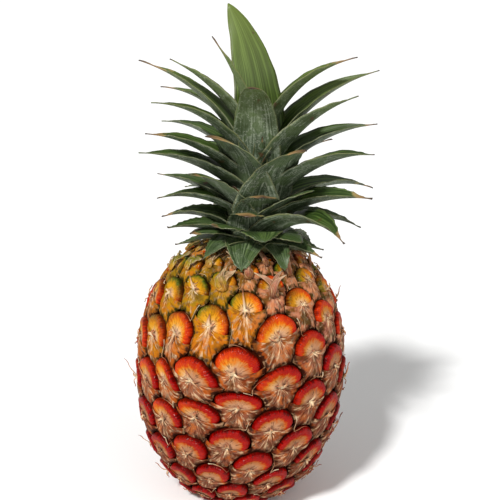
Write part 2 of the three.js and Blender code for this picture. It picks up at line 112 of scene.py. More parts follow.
def matt_paper():
    """Seamless studio paper: a plain, matt, almost white ground."""
    material = new_material("matt background paper")
    shader = add(material, "BsdfPrincipled", {"Base Color": FLOOR_COLOUR, "Roughness": 0.9})
    add(material, "OutputMaterial", {"Surface": shader})
    return material


floor_shape = bmesh.new()
bmesh.ops.create_grid(floor_shape, x_segments=1, y_segments=1, size=FLOOR_REACH)
floor = show("floor", floor_shape, matt_paper())

scene = bpy.context.scene
scene.view_settings.view_transform = "Standard"
scene.world = bpy.data.worlds.new("white surround")
scene.world.use_nodes = True
background = scene.world.node_tree.nodes["Background"]
background.inputs["Color"].default_value = linear(SURROUND_COLOUR)
background.inputs["Strength"].default_value = SURROUND_STRENGTH

camera = bpy.data.objects.new("camera", bpy.data.cameras.new("camera"))
camera.data.lens = CAMERA_LENS
camera.location = CAMERA_PLACE
camera.rotation_mode = "QUATERNION"
camera.rotation_quaternion = (
    (CAMERA_AIM - CAMERA_PLACE).to_track_quat("-Z", "Y") @ Quaternion((0, 0, 1), CAMERA_ROLL))
scene.collection.objects.link(camera)
scene.camera = camera


def shine(name, direction, strength, softness):
    """A soft light from one direction, so far off that it lights everything alike."""
    light = bpy.data.objects.new(name, bpy.data.lights.new(name, "SUN"))
    light.data.energy = strength
    light.data.angle = softness
    light.rotation_mode = "QUATERNION"
    light.rotation_quaternion = (-direction).to_track_quat("-Z", "Y")
    scene.collection.objects.link(light)


shine("key light", **KEY_LIGHT)
shine("fill light", **FILL_LIGHT)

# ---------------------------------------------------------------- rind
# The body of the fruit is well over a hundred berries grown together. Each shows one eye: a waxy dome
# with a swollen rim along its upper side, and below it the flesh that carries its bract.
# The eyes follow one rising spiral, and grooves run between them, darkened with painted shade.

BODY_RADIUS = 0.0598
BODY_HALF_HEIGHT = 0.0807
BODY_ROUNDNESS = 2.18
BODY_TOP_FULLNESS = 0.039
BODY_MIDDLE = 0.075
BODY_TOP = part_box("fruit")[1].z
PROFILE_STEPS = 2000
FULL_RELIEF_RADIUS = 0.042

ROWS_ONE_WAY = 7
ROWS_OTHER_WAY = 11
EYE_TURN = math.radians(-99.696)
EYE_RISE = 0.0246
FIRST_ANGLE = math.radians(-1.415)
FIRST_RISE = 0.138
LOWEST_EYE = -100
HIGHEST_EYE = 87
EYE_OVERHANG = 0.006
DOME_BULGE = 0.04
DOME_NARROWING = 0.17
NARROWING_SPREAD = 3.2
KNOT_LIFT = 0.058

# How far the rows of eyes drift from an even spiral: waves round the body, a twist and a stretch towards
# the ends, and two local drifts. A program fitted these, the spiral's turn, rise and first place, the
# domes' bulge and the body's shape, so they aren't worked out from sizes.
ROW_WAVE = {"cos1": -0.053, "sin1": 0.042, "cos2": -0.045, "sin2": -0.013}
ROW_TWIST = -0.202
ROW_TWIST_REST = 0.253
ROW_TWIST_LIMIT = 1.5
ROW_STRETCH = 0.059
DRIFTS = (
    {"angle": 0.091, "rise": 0.566, "reach": 0.338, "turn": -0.104, "lift": -0.155},
    {"angle": -0.441, "rise": 0.381, "reach": 0.336, "turn": -0.167, "lift": -0.094},
)

SECTORS = 48
RINGS = (1, 0.975, 0.94, 0.89, 0.82, 0.74, 0.65, 0.55, 0.44, 0.33, 0.2, 0.1)
DOME_EDGE = 0.98

# Shares of the way from the knot to the edge, with the height over the bare skin in mm.
DOME_HEIGHTS = ((0, 1.4), (0.1, 1.2), (0.33, 1.3), (0.55, 1.7), (0.65, 2.1), (0.74, 2.5), (0.82, 2.5),
                (0.89, 2.0), (0.94, 1.0), (0.975, -0.8), (1, -2.6))
BRACT_HEIGHTS = ((0, 1.4), (0.3, 1.2), (0.64, 0.9), (0.82, 0.4), (0.94, -0.6), (1, -2.6))

DOME_BLEND = 5
WRINKLE_SIZE = 0.004
WRINKLE_DEPTH = 0.0003
JOIN_WITHIN = 1e-5
LEVEL_WITHIN = 1e-6
SOCKET_GAP = 0.0003


def skin_profile():
    """Height, radius and rise of the bare skin from the bottom to the top, with its rise from the middle."""
    heights, radii, rises = [], [], [0]
    for step in range(PROFILE_STEPS + 1):
        height = BODY_HALF_HEIGHT * math.sin((step / PROFILE_STEPS - 0.5) * math.pi)
        share = min(1, abs(height) / BODY_HALF_HEIGHT)
        narrowed = (1 - share ** BODY_ROUNDNESS) ** (1 / BODY_ROUNDNESS)
        fullness = 1 + BODY_TOP_FULLNESS * height / BODY_HALF_HEIGHT
        radius = max(BODY_RADIUS * narrowed * fullness, 0.001)
        if heights:
            length = math.hypot(height - heights[-1], radius - radii[-1])
            rises.append(rises[-1] + 2 * length / (radius + radii[-1]))
        heights.append(height)
        radii.append(radius)
    middle = rises[PROFILE_STEPS // 2]
    return heights, radii, [rise - middle for rise in rises]


HEIGHTS, RADII, RISES = skin_profile()


def skin_point(angle, rise, raised):
    """A point over the bare skin, raised along its normal. The relief shrinks towards both ends."""
    low = min(max(bisect_right(RISES, rise) - 1, 0), PROFILE_STEPS - 1)
    share = min(max((rise - RISES[low]) / (RISES[low + 1] - RISES[low]), 0), 1)
    up, outwards = HEIGHTS[low + 1] - HEIGHTS[low], RADII[low + 1] - RADII[low]
    length = math.hypot(up, outwards)
    flat_radius = RADII[low] + share * outwards
    relief = raised * min(1, flat_radius / FULL_RELIEF_RADIUS)
    radius = flat_radius + relief * up / length
    height = HEIGHTS[low] + share * up - relief * outwards / length
    return Vector((radius * math.sin(angle), -radius * math.cos(angle), BODY_MIDDLE + height))


def grown_point(place, raised):
    """Moves a point of the even lattice to where it grew, and gives its place in space."""
    angle, rise = place
    rise += (ROW_WAVE["cos1"] * math.cos(angle) + ROW_WAVE["sin1"] * math.sin(angle)
             + ROW_WAVE["cos2"] * math.cos(2 * angle) + ROW_WAVE["sin2"] * math.sin(2 * angle))
    angle += ROW_TWIST * (ROW_TWIST_LIMIT * math.tanh(rise * rise / ROW_TWIST_LIMIT) - ROW_TWIST_REST)
    turn, lift = 0, 0
    for drift in DRIFTS:
        aside = math.remainder(angle - drift["angle"], math.tau)
        near = math.exp(-(aside ** 2 + (rise - drift["rise"]) ** 2) / drift["reach"] ** 2)
        turn += drift["turn"] * near
        lift += drift["lift"] * near
    rise += lift
    return skin_point(angle + turn, rise * (1 + ROW_STRETCH * abs(rise)), raised)


def eye_place(number):
    return Vector((FIRST_ANGLE + EYE_TURN * number, FIRST_RISE + EYE_RISE * number))


def step(places):
    return Vector((math.remainder(EYE_TURN * places, math.tau), EYE_RISE * places))


def eye_outline():
    """The edge of an eye, anticlockwise from its right corner. Its three upper sides bulge over the
    eyes above it, and its lower sides give way to the eyes below in the same way."""
    right, left = step(ROWS_ONE_WAY), step(ROWS_OTHER_WAY)
    above = right + left
    sides = (right, above, left)
    corners = [(right - left) / 3, (right + above) / 3, (above + left) / 3]
    corners += [-corner for corner in corners]
    points = []
    for number in range(SECTORS):
        side, along = divmod(number * 6 / SECTORS, 1)
        side = int(side)
        bulge = DOME_BULGE * 4 * along * (1 - along) * sides[side % 3].normalized()
        points.append(corners[side].lerp(corners[(side + 1) % 6], along) + bulge)
    return points


EYE_OUTLINE = eye_outline()
EYES = [number for number in range(LOWEST_EYE, HIGHEST_EYE + 1)
        if -EYE_OVERHANG < grown_point(eye_place(number), 0).z < BODY_TOP + EYE_OVERHANG]


def outline_at(sector):
    """The edge of an eye at any share of the way round, counted in sectors."""
    low = math.floor(sector)
    return EYE_OUTLINE[low % SECTORS].lerp(EYE_OUTLINE[(low + 1) % SECTORS], sector - low)


def eye_point(number, sector, ring, raised):
    """A point of one eye, from its knot, at ring 0, to its edge, at ring 1."""
    reach = ring
    if ring <= DOME_EDGE:
        from_corner = abs((sector + SECTORS / 4) % (SECTORS / 2) - SECTORS / 4)
        reach *= 1 - DOME_NARROWING * math.exp(-(from_corner / NARROWING_SPREAD) ** 2)
    knot = Vector((0, KNOT_LIFT * (1 - ring)))
    return grown_point(eye_place(number) + reach * outline_at(sector) + knot, raised)


def between(share, stops):
    """The value at a share of the way along a list of places and values."""
    for (low, before), (high, after) in zip(stops, stops[1:]):
        if share <= high:
            return before + (after - before) * (share - low) / (high - low)
    return stops[-1][1]


def dome_weight(sector):
    """1 over the dome, which takes the upper half of the eye's outline, and 0 over the bract."""
    inside = min(sector, SECTORS / 2 - sector)
    return min(max((inside + 1) / DOME_BLEND, 0), 1)


def eye_height(sector, ring):
    weight = dome_weight(sector)
    return (weight * between(ring, DOME_HEIGHTS) + (1 - weight) * between(ring, BRACT_HEIGHTS)) / 1000


def eye_template():
    """A disc of rings and sectors, with the sector and ring of each of its points."""
    disc = bmesh.new()
    bmesh.ops.create_circle(disc, cap_ends=True, radius=1, segments=SECTORS)
    middle = disc.faces[:]
    for outer, inner in zip(RINGS, RINGS[1:]):
        bmesh.ops.inset_region(disc, faces=middle, use_boundary=True,
                               thickness=(outer - inner) * math.cos(math.pi / SECTORS))
    bmesh.ops.poke(disc, faces=middle)
    points = []
    for vert in disc.verts:
        ring = min((*RINGS, 0), key=lambda share: abs(share - vert.co.length))
        points.append((round(math.atan2(vert.co.y, vert.co.x) / math.tau * SECTORS) % SECTORS, ring))
    uv = disc.loops.layers.uv.new("eye")
    for face in disc.faces:
        corners = [points[loop.vert.index] for loop in face.loops]
        turns = [sector for sector, ring in corners if ring]
        wrapped = max(turns) - min(turns) > SECTORS / 2
        middle_turn = SECTORS - 0.5 if wrapped else sum(turns) / len(turns)
        for loop, (sector, ring) in zip(face.loops, corners):
            turn = SECTORS if wrapped and sector == 0 else sector
            loop[uv].uv = ((turn if ring else middle_turn) / SECTORS, ring)
    mesh = bpy.data.meshes.new("eye template")
    disc.to_mesh(mesh)
    disc.free()
    return mesh, points


def repeated(template, points, places, chance):
    """One copy of the template for each place, which is a rule that moves each of its points. Each copy has
    a tone of its own."""
    shape = bmesh.new()
    for _ in places:
        shape.from_mesh(template)
    bpy.data.meshes.remove(template)
    shape.verts.ensure_lookup_table()
    shape.faces.ensure_lookup_table()
    tone = shape.faces.layers.float.new("tone")
    faces_each = len(shape.faces) // len(places)
    for copy, moved in enumerate(places):
        for index, point in enumerate(points):
            shape.verts[copy * len(points) + index].co = moved(*point)
        own = chance.random()
        for face in shape.faces[copy * faces_each:(copy + 1) * faces_each]:
            face[tone] = own
    return shape


def skin_of(number):
    """The rule that lays the template on one eye, with fine wrinkles inside its edge."""
    def moved(sector, ring):
        height = eye_height(sector, ring)
        place = eye_point(number, sector, ring, height)
        if 0 < ring < 1:
            wrinkle = WRINKLE_DEPTH * noise.noise(place / WRINKLE_SIZE)
            place = eye_point(number, sector, ring, height + wrinkle)
        return place
    return moved


def cut_rim(shape, height):
    """The edges left open where a shape was cut level."""
    return [edge for edge in shape.edges
            if edge.is_boundary and all(abs(vert.co.z - height) < LEVEL_WITHIN for vert in edge.verts)]


def cut_level(shape, height, **cleared):
    everything = shape.verts[:] + shape.edges[:] + shape.faces[:]
    bmesh.ops.bisect_plane(shape, geom=everything, plane_co=(0, 0, height), plane_no=(0, 0, 1), **cleared)


def close_ends(shape):
    """Cuts the base flat with a socket for the stalk, and closes the top under the crown."""
    cut_level(shape, 0, clear_inner=True)
    cut_level(shape, BODY_TOP, clear_outer=True)
    top = bmesh.ops.edgeloop_fill(shape, edges=cut_rim(shape, BODY_TOP))
    bmesh.ops.poke(shape, faces=top["faces"])
    base = cut_rim(shape, 0)
    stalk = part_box("stalk")[1]
    circle = bmesh.ops.create_circle(shape, radius=stalk.x + SOCKET_GAP, segments=SECTORS)
    socket = list({edge for vert in circle["verts"] for edge in vert.link_edges})
    bmesh.ops.bridge_loops(shape, edges=base + socket)
    walls = bmesh.ops.extrude_edge_only(shape, edges=socket)["geom"]
    raised = [item for item in walls if isinstance(item, bmesh.types.BMVert)]
    bmesh.ops.translate(shape, verts=raised, vec=(0, 0, stalk.z + SOCKET_GAP))
    bmesh.ops.edgeloop_fill(shape, edges=[item for item in walls if isinstance(item, bmesh.types.BMEdge)])
    bmesh.ops.recalc_face_normals(shape, faces=shape.faces[:])


# Ripeness runs from 0, green, to 1, deep red. The fruit ripens from its base up, and more on the right.
# The slope started from a program's fit, and the seed and spread of the eyes' own tones were picked out
# of many.
RIPE_ACROSS = 2.4
RIPE_UP = -7.95
RIPE_MIDDLE = (0.091, 0.744)
RIPE_SPREAD = 0.17
RIPE_MOTTLE = 0.16
RIPE_TO_RIGHT = 0.13
MOTTLE_SIZE = 0.009
TONE_SEED = 5495
RIBS_A_TURN = 58
WAVE_PERIOD = 0.314
BRACT_PATCH = 0.0025
BRACT_BLOTCH = 0.006
DRY_ACROSS = 33.0
DRY_UP = 40.0
DRY_FROM = -5.0
MARK_SIZE = 0.0022
TONE_SHIFT = 50.0


def weighed_sum(material, start, parts):
    """Adds to a start, which is a value or an output, each part times its weight."""
    total = start
    for part, weight in parts:
        total = add(material, "Math", {0: part, 1: weight, 2: total}, operation="MULTIPLY_ADD")
    return total


def painted(material, colour, layers):
    """Lays more colours over one, each where the ramp of its mask is high."""
    for mask, stops, paint in layers:
        cover = add(material, "ValToRGB", {0: mask}, stops=stops)
        colour = add(material, "Mix", {0: cover, 6: colour, 7: paint}, out=2, data_type="RGBA")
    return colour


def ripeness(material):
    """How ripe the skin is at each place, from its height and side, its own eye and a soft mottle."""
    place = add(material, "TexCoord", out=3)
    height, ripe_there = RIPE_MIDDLE
    slope = add(material, "VectorMath", {0: place, 1: (RIPE_ACROSS, 0, RIPE_UP)}, out=1,
                operation="DOT_PRODUCT")
    even = add(material, "Math", {0: slope, 1: ripe_there - height * RIPE_UP}, operation="ADD")
    tone = add(material, "Attribute", out=2, attribute_name="tone")
    own = add(material, "MapRange", {"Value": tone, "To Min": -RIPE_SPREAD, "To Max": RIPE_SPREAD})
    mottle = add(material, "TexNoise", {"Vector": place, "Scale": 1 / MOTTLE_SIZE, "Detail": 3})
    patch = add(material, "MapRange", {"Value": mottle, "To Min": -RIPE_MOTTLE, "To Max": RIPE_MOTTLE})
    total = add(material, "Math", {0: even, 1: own}, operation="ADD")
    return add(material, "Math", {0: total, 1: patch}, operation="ADD", use_clamp=True)


def dryness(material):
    """How far the bracts have dried to paper: not at all on the left, and fully on the right shoulder."""
    place = add(material, "TexCoord", out=3)
    slope = add(material, "VectorMath", {0: place, 1: (DRY_ACROSS, 0, DRY_UP)}, out=1,
                operation="DOT_PRODUCT")
    return add(material, "Math", {0: slope, 1: DRY_FROM}, operation="ADD", use_clamp=True)


def streaks_along(material, uv_map, across, along):
    """Fine streaks that run along a piece: how many there are across it, and how often they change.
    With them come the shares of the way across and along."""
    share = add(material, "SeparateXYZ", {0: add(material, "UVMap", uv_map=uv_map)}).node.outputs
    tone = add(material, "Attribute", out=2, attribute_name="tone")
    place = add(material, "CombineXYZ", {
        0: add(material, "Math", {0: share[0], 1: across}, operation="MULTIPLY"),
        1: add(material, "Math", {0: share[1], 1: along}, operation="MULTIPLY"),
        2: add(material, "Math", {0: tone, 1: TONE_SHIFT}, operation="MULTIPLY")})
    return add(material, "TexNoise", {"Vector": place, "Scale": 1.0, "Detail": 4.0}), share[0], share[1]


def fleshy_bract(material, ripe, streaks, ring, wing):
    """The flesh below the knot: bright towards its wings, where wing is 1, covered near the knot and low on
    the fruit with pale dry husk, blotched and streaked with light and dark, and painted shade along its outer
    edge."""
    place = add(material, "TexCoord", out=3)
    patches = add(material, "TexNoise", {"Vector": place, "Scale": 1 / BRACT_PATCH, "Detail": 4.0})
    blotches = add(material, "TexNoise", {"Vector": place, "Scale": 1 / BRACT_BLOTCH, "Detail": 5.0})
    flesh = add(material, "ValToRGB", {0: ripe}, stops=(
        (0.0, "#56540e"), (0.2, "#a2760c"), (0.42, "#b8700c"), (0.62, "#a85418"), (0.82, "#7c3216"),
        (1.0, "#682816")))
    husk = add(material, "ValToRGB", {0: ripe}, stops=(
        (0.0, "#b09c58"), (0.3, "#d8aa74"), (0.55, "#bc8660"), (0.8, "#945c3e"), (1.0, "#804a34")))
    near = weighed_sum(material, -1.15, (
        (streaks, 1.8), (patches, 1.5), (ripe, 1.0), (ring, -0.8), (wing, -0.5)))
    pale = add(material, "ValToRGB", {0: near}, stops=((0.3, 0.0), (0.6, 1.0)))
    colour = add(material, "Mix", {0: pale, 6: flesh, 7: husk}, out=2, data_type="RGBA")
    papery = add(material, "Math", {0: dryness(material), 1: 0.75}, operation="MULTIPLY")
    paper = add(material, "ValToRGB", {0: blotches}, stops=(
        (0.34, "#44341a"), (0.44, "#7c4c2e"), (0.52, "#a8705c"), (0.62, "#d0a082")))
    colour = add(material, "Mix", {0: papery, 6: colour, 7: paper}, out=2, data_type="RGBA")
    olive = add(material, "Math", {0: ring, 1: -0.2, 2: blotches}, operation="MULTIPLY_ADD")
    colour = painted(material, colour, (
        (blotches, ((0.52, 0.0), (0.6, 0.5)), "#b85c14"),
        (olive, ((0.2, 0.6), (0.38, 0.0)), "#3c3010"),
        (patches, ((0.55, 0.0), (0.6, 0.45)), "#7a6a56")))
    light = add(material, "ValToRGB", {0: streaks}, stops=((0.56, 0.0), (0.64, 0.6)))
    light = add(material, "Math", {0: light, 1: pale}, operation="MULTIPLY")
    colour = add(material, "Mix", {0: light, 6: colour, 7: "#d8b48c"}, out=2, data_type="RGBA")
    lines = add(material, "ValToRGB", {0: streaks}, stops=((0.37, 0.85), (0.45, 0.0)))
    husky = add(material, "MapRange", {"Value": pale, "To Min": 0.6})
    lines = add(material, "Math", {0: lines, 1: husky}, operation="MULTIPLY")
    colour = add(material, "Mix", {0: lines, 6: colour, 7: "#46180a"}, out=2, data_type="RGBA")
    # Painted shade: the bract darkens along its outer edge, towards the groove between the eyes.
    outer = weighed_sum(material, ring, ((patches, 0.6), (streaks, -0.4)))
    groove_shade = add(material, "MapRange", {"Value": outer, "From Min": 0.94, "From Max": 1.06, "To Max": 0.92})
    shaded = add(material, "ValToRGB", {0: ripe}, stops=((0.3, "#34320a"), (0.6, "#2c0e04")))
    colour = add(material, "Mix", {0: groove_shade, 6: colour, 7: shaded}, out=2, data_type="RGBA")

    # A star of cream streaks spreads from the knot over all of this.
    star = weighed_sum(material, -0.15, ((streaks, 1.6), (ring, -0.75)))
    return painted(material, colour, [(star, ((0.5, 0.0), (0.72, 0.85)), "#e6c8a0")])


def waxy_rind():
    """Ripe rind: glossy where the wax lies thick on the rims, and duller in the streaked, downy middles."""
    material = new_material("waxy ripe rind")
    place = add(material, "TexCoord", out=3)
    streaks, turn, ring = streaks_along(material, "eye", across=52.0, along=3.0)
    ripe = ripeness(material)
    ragged = add(material, "TexNoise", {"Vector": place, "Scale": 1 / MARK_SIZE, "Detail": 3.0})
    ribs = add(material, "TexWave", {"Vector": add(material, "UVMap", uv_map="eye"),
                                     "Scale": RIBS_A_TURN * WAVE_PERIOD, "Distortion": 5.0, "Detail": 2.0})

    # How far out of the middle a place lies: the swollen rim is widest above the knot.
    full_turn = add(material, "Math", {0: turn, 1: math.tau}, operation="MULTIPLY")
    upward = add(material, "Math", {0: full_turn}, operation="SINE")
    out = weighed_sum(material, ring, ((upward, 0.14), (ragged, 0.3), (streaks, -0.36), (ribs, -0.05)))
    out = add(material, "Math", {0: out, 1: -0.02}, operation="ADD")

    # Each ramp ends darker at the rim's outer flank, where the dome drops into the groove: painted shade.
    unripe = add(material, "ValToRGB", {0: out}, stops=(
        (0.1, "#c49a7c"), (0.24, "#d0a468"), (0.38, "#c8901c"), (0.6, "#bc840c"), (0.73, "#8c700c"),
        (0.84, "#545c0c"), (0.97, "#242c08")))
    turning = add(material, "ValToRGB", {0: out}, stops=(
        (0.1, "#ac8670"), (0.28, "#d8b084"), (0.46, "#d09040"), (0.6, "#d47810"), (0.72, "#cc4402"),
        (0.9, "#b02600"), (1.0, "#701200")))
    red = add(material, "ValToRGB", {0: out}, stops=(
        (0.1, "#845a46"), (0.28, "#b88866"), (0.5, "#ae7044"), (0.61, "#b65414"), (0.67, "#a61402"),
        (0.92, "#880200"), (1.0, "#500100")))
    rightness = add(material, "Math", {0: full_turn}, operation="COSINE")
    sunny = add(material, "Math", {0: rightness, 1: RIPE_TO_RIGHT, 2: ripe}, operation="MULTIPLY_ADD")
    to_turning = add(material, "MapRange", {"Value": sunny, "From Min": 0.2, "From Max": 0.56})
    to_red = add(material, "MapRange", {"Value": sunny, "From Min": 0.58, "From Max": 0.84})
    dome = add(material, "Mix", {0: to_turning, 6: unripe, 7: turning}, out=2, data_type="RGBA")
    dome = add(material, "Mix", {0: to_red, 6: dome, 7: red}, out=2, data_type="RGBA")
    mark = add(material, "Math", {0: ragged, 1: 0.7, 2: streaks}, operation="MULTIPLY_ADD")
    marked = add(material, "ValToRGB", {0: mark}, stops=((0.71, 0.6), (0.77, 0.0)))
    inside = add(material, "ValToRGB", {0: ring}, stops=((0.4, 1.0), (0.65, 0.0)))
    marked = add(material, "Math", {0: marked, 1: inside}, operation="MULTIPLY")
    dome = add(material, "Mix", {0: marked, 6: dome, 7: "#3c1808"}, out=2, data_type="RGBA")

    in_dome = add(material, "ValToRGB", {0: turn}, stops=((0, 0.0), (0.02, 1.0), (0.48, 1.0), (0.5, 0.0)))
    wing = add(material, "Math", {0: turn, 1: 4.0, 2: -3.0}, operation="MULTIPLY_ADD")
    wing = add(material, "Math", {0: wing}, operation="ABSOLUTE")
    bract = fleshy_bract(material, ripe, streaks, ring, wing)
    body = add(material, "Mix", {0: in_dome, 6: bract, 7: dome}, out=2, data_type="RGBA")
    # Dark brown over the grooves between the eyes: painted shade in these recesses.
    body = painted(material, body, [(ring, ((0.945, 0.0), (0.97, 0.6), (0.99, 1.0)), "#3c1205")])

    waxed = add(material, "ValToRGB", {0: ring}, stops=((0.45, 0.0), (0.7, 1.0), (0.9, 1.0), (0.95, 0.0)))
    wax = add(material, "MapRange", {"Value": waxed, "To Max": 0.22})
    ridges = add(material, "Math", {0: ribs, 1: waxed}, operation="MULTIPLY")
    relief = add(material, "Math", {0: streaks, 1: 0.6, 2: ridges}, operation="MULTIPLY_ADD")
    bump = add(material, "Bump", {"Strength": 0.5, "Distance": 0.0004, "Height": relief})
    shader = add(material, "BsdfPrincipled", {
        "Base Color": body, "Roughness": 0.6, "Normal": bump, "Specular IOR Level": 0.03,
        "Coat Weight": wax, "Coat Roughness": 0.12, "Coat Normal": bump})
    add(material, "OutputMaterial", {"Surface": shader})
    return material


rind_shape = repeated(*eye_template(), [skin_of(number) for number in EYES], random.Random(TONE_SEED))
bmesh.ops.remove_doubles(rind_shape, verts=rind_shape.verts[:], dist=JOIN_WITHIN)
close_ends(rind_shape)
rind = show("rind", rind_shape, waxy_rind())
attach(rind, "root")
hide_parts("fruit")

# ---------------------------------------------------------------- bracts
# Each eye grew in the angle of a bract, a small pointed leaf that dries to paper as the fruit ripens.
# It fans out below the knot, with a wing to each side, and it ends in a thorn over the dome.

BRACT_COLUMNS = 16
BRACT_ROWS = 4
BRACT_THICKNESS = 0.00035

# How far out the sheet ends, by the share from its middle to its wings, and how high it stands in mm, by
# the share from the knot to its edge.
BRACT_REACH = ((0, 1.02), (0.25, 0.97), (0.5, 1.01), (0.75, 0.97), (1, 1.04))
BRACT_LIFT = ((0, 1.9), (0.25, 1.9), (0.5, 1.8), (0.75, 1.4), (1, 0))

WING_LIFT = 0.3
WING_RISE = 2.5
WING_SHARPNESS = 4
BRACT_RAGGED = 0.1
RAGGED_STEP = 3.1
RAGGED_ACROSS = 5
BRACT_FOLDS = 4
BRACT_FOLD_DEPTH = 0.0005
ABOVE_FLOOR = 0.0003


def sheet_template(columns, rows):
    """A flat sheet with two faces, and for each of its points the place across, along and through it."""
    sheet = bmesh.new()
    bmesh.ops.create_grid(sheet, x_segments=columns, y_segments=rows, size=1)
    uv = sheet.loops.layers.uv.new("sheet")
    for face in sheet.faces:
        for loop in face.loops:
            loop[uv].uv = ((loop.vert.co.x + 1) / 2, (loop.vert.co.y + 1) / 2)
    bmesh.ops.solidify(sheet, geom=sheet.faces[:], thickness=1)
    heights = [vert.co.z for vert in sheet.verts]
    lowest, depth = min(heights), max(heights) - min(heights)
    points = [(vert.co.x, (vert.co.y + 1) / 2, (vert.co.z - lowest) / depth) for vert in sheet.verts]
    upper = sheet.faces.layers.float.new("upper")
    for face in sheet.faces:
        face[upper] = 1 if face.calc_center_median().z > lowest + depth / 2 else 0
    mesh = bpy.data.meshes.new("sheet template")
    sheet.to_mesh(mesh)
    sheet.free()
    return mesh, points


def bract_of(number):
    """The rule for the fan of one bract: aside -1 is its left wing and 1 its right."""
    def moved(aside, share, side):
        sector = SECTORS * 0.75 + aside * (SECTORS * 0.25 + WING_RISE * share)
        uneven = noise.noise(Vector((number * RAGGED_STEP, aside * RAGGED_ACROSS, 0)))
        ring = share * (between(abs(aside), BRACT_REACH) + BRACT_RAGGED * uneven)
        fold = BRACT_FOLD_DEPTH * share * math.cos(aside * BRACT_FOLDS * math.pi + uneven)
        lift = between(share, BRACT_LIFT) + WING_LIFT * share * abs(aside) ** WING_SHARPNESS
        height = lift / 1000 + fold + BRACT_THICKNESS * (side - 1)
        knot = Vector((0, KNOT_LIFT * (1 - ring)))
        return grown_point(eye_place(number) + ring * outline_at(sector) + knot, height)
    return moved


def keep_above_floor(shape):
    for vert in shape.verts:
        vert.co.z = max(vert.co.z, ABOVE_FLOOR)


def dry_bract():
    """Drying bract: leathery and bright near the knot, matt, and darkened brown towards the groove by painted
    shade, with pale dry streaks along its edge."""
    material = new_material("leathery dry bract")
    streaks, across, along = streaks_along(material, "sheet", across=20.0, along=2.6)
    wing = add(material, "Math", {0: across, 1: 2.0, 2: -1.0}, operation="MULTIPLY_ADD")
    wing = add(material, "Math", {0: wing}, operation="ABSOLUTE")
    body = fleshy_bract(material, ripeness(material), streaks, along, wing)
    edge = add(material, "ValToRGB", {0: along}, stops=((0.92, 0.0), (0.96, 0.6)))
    torn = add(material, "ValToRGB", {0: streaks}, stops=((0.52, 0.0), (0.6, 1.0)))
    edge = add(material, "Math", {0: edge, 1: torn}, operation="MULTIPLY")
    body = add(material, "Mix", {0: edge, 6: body, 7: "#b08a64"}, out=2, data_type="RGBA")
    bump = add(material, "Bump", {"Strength": 1.0, "Distance": 0.001, "Height": streaks})
    shader = add(material, "BsdfPrincipled", {
        "Base Color": body, "Roughness": 0.7, "Normal": bump, "Specular IOR Level": 0.06})
    add(material, "OutputMaterial", {"Surface": shader})
    return material


bract_shape = repeated(*sheet_template(BRACT_COLUMNS, BRACT_ROWS), [bract_of(number) for number in EYES],
                       random.Random(TONE_SEED))
bmesh.ops.remove_doubles(bract_shape, verts=bract_shape.verts[:], dist=JOIN_WITHIN)
keep_above_floor(bract_shape)
bmesh.ops.recalc_face_normals(bract_shape, faces=bract_shape.faces[:])
bracts = show("bracts", bract_shape, dry_bract())
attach(bracts, "root")

# ---------------------------------------------------------------- thorns
# The dry ends of the bracts: a thorn over each knot, shreds that have split off round it, and, below every
# second eye, a loose curling string. Each is one thin strip of dead fibre, with its sizes drawn from a seed.

THORN_COLUMNS = 2
THORN_ROWS = 8
THORN_THICKNESS = 0.0004
THORN_CUPPING = 0.08
THORN_CRUMPLE = 0.12
CRUMPLES_ACROSS = 2
CRUMPLES_ALONG = 4
THORN_BASE = 0.0017
THORN_ARCH = 0.0016
THORN_ARCH_STEEPNESS = 1.2
THORN_CURL = 1.6
THORN_TAPER = 0.8
THORN_POINT = 0.06
THORN_LEAN = 0.5
THORN_SWAY = 0.8
THORN_SEED = 5962
THORN_TONE_SEED = 5
STRIP_ROOT = 0.3
STRIP_OPENING = 3
LATTICE_METRE = 1 / 0.06
SHREDS_EACH = 3
SHRED_SWAY = 1
SHRED_LENGTHS = (0.0025, 0.007)
SHRED_WIDTHS = (0.001, 0.0022)
SHRED_LIFTS = (0, 0.003)
EYES_A_STRING = 2
STRING_STARTS = (25, 38)
STRING_SECTORS = (6, 11)
STRING_INNER = (0.8, 0.95)
STRING_OUTER = (0.95, 1.12)
STRING_WIDTH = 0.017
STRING_TAPER = 0.5
STRING_WAVE = 0.04
STRING_WAVES = 3
STRING_HEIGHT = 0.0016
STRING_UNEVEN = 0.0014

# Short, long and curled thorns, each with the share of thorns up to it.
THORN_KINDS = (
    {"up_to": 0.5, "lengths": (0.002, 0.004), "width": 0.0018, "lifts": (0, 0.0015)},
    {"up_to": 0.72, "lengths": (0.005, 0.009), "width": 0.003, "lifts": (0.001, 0.005)},
    {"up_to": 1, "lengths": (0.008, 0.014), "width": 0.0018, "lifts": (0.003, 0.008)},
)


def pointed_strip(number, heading, sway, length, width, lift, start=0, base=THORN_BASE):
    """The rule for a strip that tapers from a knot, or from some way below it: its heading on the skin,
    its sway, and how high its root and its tip stand off."""
    def moved(aside, share, side):
        opened = min(1, STRIP_ROOT + STRIP_OPENING * share) if start else 1
        half = width / 2 * max(opened * (1 - share) ** THORN_TAPER, THORN_POINT)
        turn = heading + sway * share
        across = Vector((math.cos(turn), -math.sin(turn))) * aside * half
        along = Vector((math.sin(turn), math.cos(turn))) * (length * share - start)
        arch = THORN_ARCH * math.sin(math.pi * min(1, share * THORN_ARCH_STEEPNESS))
        height = base + arch + lift * share ** THORN_CURL
        crumpled = Vector((number, aside * CRUMPLES_ACROSS, share * CRUMPLES_ALONG + length * 1000))
        height += THORN_CRUMPLE * width * noise.noise(crumpled)
        place = eye_place(number) + Vector((0, KNOT_LIFT)) + (across + along) * LATTICE_METRE
        return grown_point(place, height + THORN_THICKNESS * (side - 1) - abs(aside) * THORN_CUPPING * half)
    return moved


